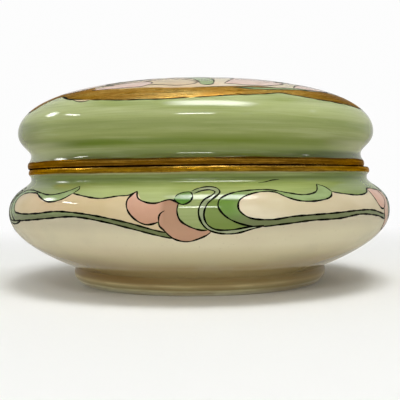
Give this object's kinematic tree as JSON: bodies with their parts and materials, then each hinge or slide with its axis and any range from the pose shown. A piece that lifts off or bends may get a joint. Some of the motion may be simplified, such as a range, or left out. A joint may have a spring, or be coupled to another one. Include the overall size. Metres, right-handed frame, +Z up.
{
  "type": "trinket box",
  "caption": "Round bulbous porcelain trinket box on a foot ring, with a lift-off domed lid, painted leaf and petal bands and gilded rims.",
  "frame": {"origin": "centre of the foot ring's underside, on the bowl's axis", "axes": "+Z up along the bowl's axis; -Y faces the side with the ribbon loop; the lid lies a little towards -X"},
  "size_m": [0.14, 0.14, 0.0733],
  "materials": {
    "porcelain": "glossy glaze over hand painting",
    "gilding": "brushed, slightly worn gold"
  },
  "bodies": {
    "base": {"base": "porcelain", "base_rim_gilding": "gilding"},
    "lid": {"lid": "porcelain", "lid_rim_gilding": "gilding", "lid_top_gilding": "gilding"}
  },
  "joints": [
    {"name": "lid_lift", "type": "slide", "parent": "base", "child": "lid", "axis": [0, 0, 1], "range_m": [0, 0.06]}
  ]
}
